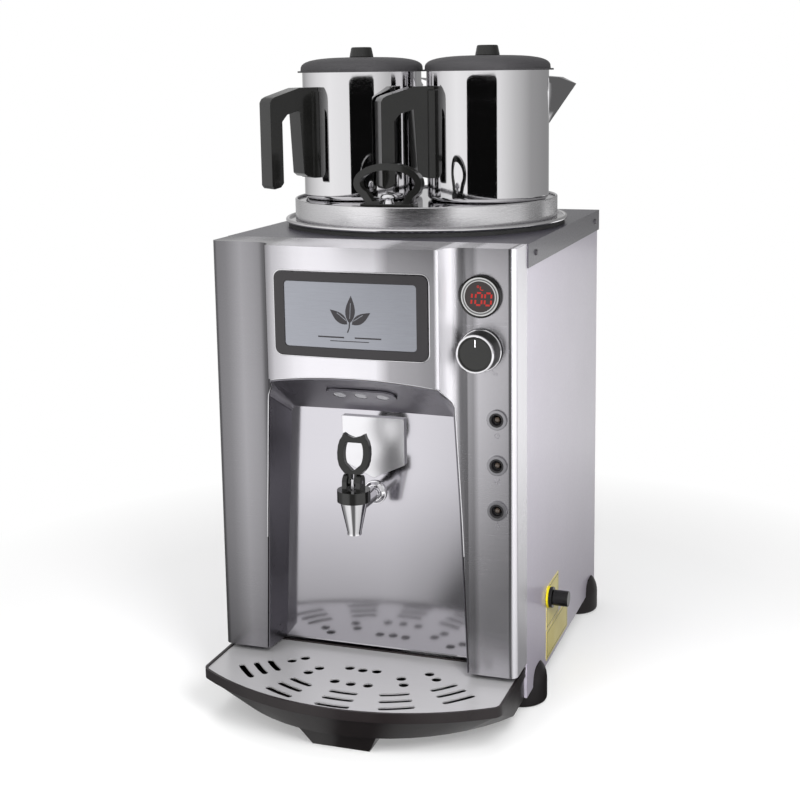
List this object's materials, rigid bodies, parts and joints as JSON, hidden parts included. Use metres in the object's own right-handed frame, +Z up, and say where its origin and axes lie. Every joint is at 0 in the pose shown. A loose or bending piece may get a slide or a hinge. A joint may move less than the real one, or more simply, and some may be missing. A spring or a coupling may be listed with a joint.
{
  "type": "hot water urn with two teapots",
  "caption": "Upright stainless water boiler with a lever tap in a lit niche, a curved drip tray and lidded teapots standing on its tank lid.",
  "frame": {"origin": "on the floor under the axis of the round tank", "axes": "+X to the right seen from the front, +Y to the rear, +Z up"},
  "size_m": [0.386, 0.5598, 0.7505],
  "materials": {
    "fascia_steel": "brushed",
    "niche_paint": "satin",
    "polished_sheet": "polished",
    "cover_paint": "satin",
    "panel_paint": "satin",
    "black_moulding": "fine grain",
    "black_gloss": "smooth",
    "chrome_part": "mirror",
    "mirror_steel": "mirror",
    "lid_coating": "matt",
    "badge_black": "smooth",
    "badge_silver": "satin",
    "label_film": "smooth",
    "yellow_moulding": "smooth",
    "lens": "clear",
    "lamp_lens": "smoked",
    "display_glass": "smoked",
    "dark_steel": "dark",
    "plain_steel": "mill",
    "seal_rubber": "matt",
    "seat_rubber": "matt",
    "brass_part": "machined",
    "mineral_wool": "fibrous",
    "pale_moulding": "matt",
    "red_moulding": "smooth"
  },
  "bodies": {
    "housing": {"base_pan": "plain_steel", "corner_feet": "black_moulding", "left_side_panel": "panel_paint", "right_side_panel": "panel_paint", "rear_panel": "panel_paint", "top_cover": "cover_paint", "case_screws": "dark_steel", "fascia": "fascia_steel", "niche_liner": "niche_paint", "niche_back_panel": "polished_sheet", "niche_light": "niche_paint", "niche_light_lenses": "lens", "badge_frame": "badge_black", "badge_panel": "badge_silver", "tap_plate": "chrome_part", "side_labels": "label_film", "boiler_tank": "mirror_steel", "rim_gasket": "seal_rubber", "tank_lagging": "mineral_wool", "tank_supports": "plain_steel", "heater_flange": "plain_steel", "heater_rod": "dark_steel", "heater_gasket": "seal_rubber", "heater_nuts": "plain_steel", "sensor_pocket": "brass_part", "thermostat_body": "black_moulding", "display_bezel": "chrome_part", "display_window": "display_glass", "display_body": "black_moulding", "lamp_bezels": "chrome_part", "lamp_lenses": "lamp_lens", "limit_thermostat": "black_moulding", "reset_washer": "yellow_moulding", "reset_collar": "black_gloss", "cable_gland": "black_moulding", "terminal_block": "pale_moulding", "tap_body": "chrome_part", "tap_rosette": "chrome_part", "tap_bonnet": "black_gloss"},
    "tap_lever": {"tap_lever": "black_gloss", "tap_pin": "plain_steel"},
    "tap_stem": {"tap_stem": "plain_steel", "tap_seat": "seat_rubber"},
    "knob": {"thermostat_knob": "black_gloss", "thermostat_shaft": "plain_steel"},
    "reset_cap": {"reset_cap": "black_gloss"},
    "reset_button": {"reset_button": "red_moulding"},
    "drip_tray": {"drip_tray": "black_moulding"},
    "drip_plate": {"drip_plate": "polished_sheet"},
    "tank_lid": {"tank_lid": "mirror_steel", "lid_handle": "black_gloss", "lid_handle_bolt": "chrome_part"},
    "left_pot": {"left_pot": "mirror_steel", "left_pot_handle": "black_gloss"},
    "left_pot_lid": {"left_pot_lid": "lid_coating", "left_lid_knob": "black_gloss"},
    "right_pot": {"right_pot": "mirror_steel", "right_pot_handle": "black_gloss"},
    "right_pot_lid": {"right_pot_lid": "lid_coating", "right_lid_knob": "black_gloss"}
  },
  "joints": [
    {"name": "lever_tilt", "type": "hinge", "parent": "housing", "child": "tap_lever", "pos_m": [0, -0.263, 0.2828], "axis": [1, 0, 0], "range_deg": [0, 30]},
    {"name": "stem_rise", "type": "slide", "parent": "housing", "child": "tap_stem", "axis": [0, 0, 1], "range_m": [0, 0.004], "stiffness_N_per_m": 60, "springref_m": -0.003},
    {"name": "knob_turn", "type": "hinge", "parent": "housing", "child": "knob", "pos_m": [0.137, -0.236, 0.43], "axis": [0, 1, 0], "range_deg": [0, 300]},
    {"name": "reset_cap_off", "type": "slide", "parent": "housing", "child": "reset_cap", "axis": [1, 0, 0], "range_m": [0, 0.04]},
    {"name": "reset_press", "type": "slide", "parent": "housing", "child": "reset_button", "axis": [-1, 0, 0], "range_m": [0, 0.002], "stiffness_N_per_m": 400, "springref_m": -0.0005},
    {"name": "tray_out", "type": "slide", "parent": "housing", "child": "drip_tray", "axis": [0, -1, 0], "range_m": [0, 0.2]},
    {"name": "plate_lift", "type": "slide", "parent": "drip_tray", "child": "drip_plate", "axis": [0, 0, 1], "range_m": [0, 0.0055]},
    {"name": "tank_lid_lift", "type": "slide", "parent": "housing", "child": "tank_lid", "axis": [0, 0, 1], "range_m": [0, 0.25]},
    {"name": "left_pot_lift", "type": "slide", "parent": "tank_lid", "child": "left_pot", "axis": [0, 0, 1], "range_m": [0, 0.2]},
    {"name": "left_pot_lid_lift", "type": "slide", "parent": "left_pot", "child": "left_pot_lid", "axis": [0, 0, 1], "range_m": [0, 0.1]},
    {"name": "right_pot_lift", "type": "slide", "parent": "tank_lid", "child": "right_pot", "axis": [0, 0, 1], "range_m": [0, 0.2]},
    {"name": "right_pot_lid_lift", "type": "slide", "parent": "right_pot", "child": "right_pot_lid", "axis": [0, 0, 1], "range_m": [0, 0.1]}
  ],
  "couplings": [
    {"joint": "lever_tilt", "follows": "stem_rise", "rad_per_m": 130.8}
  ]
}
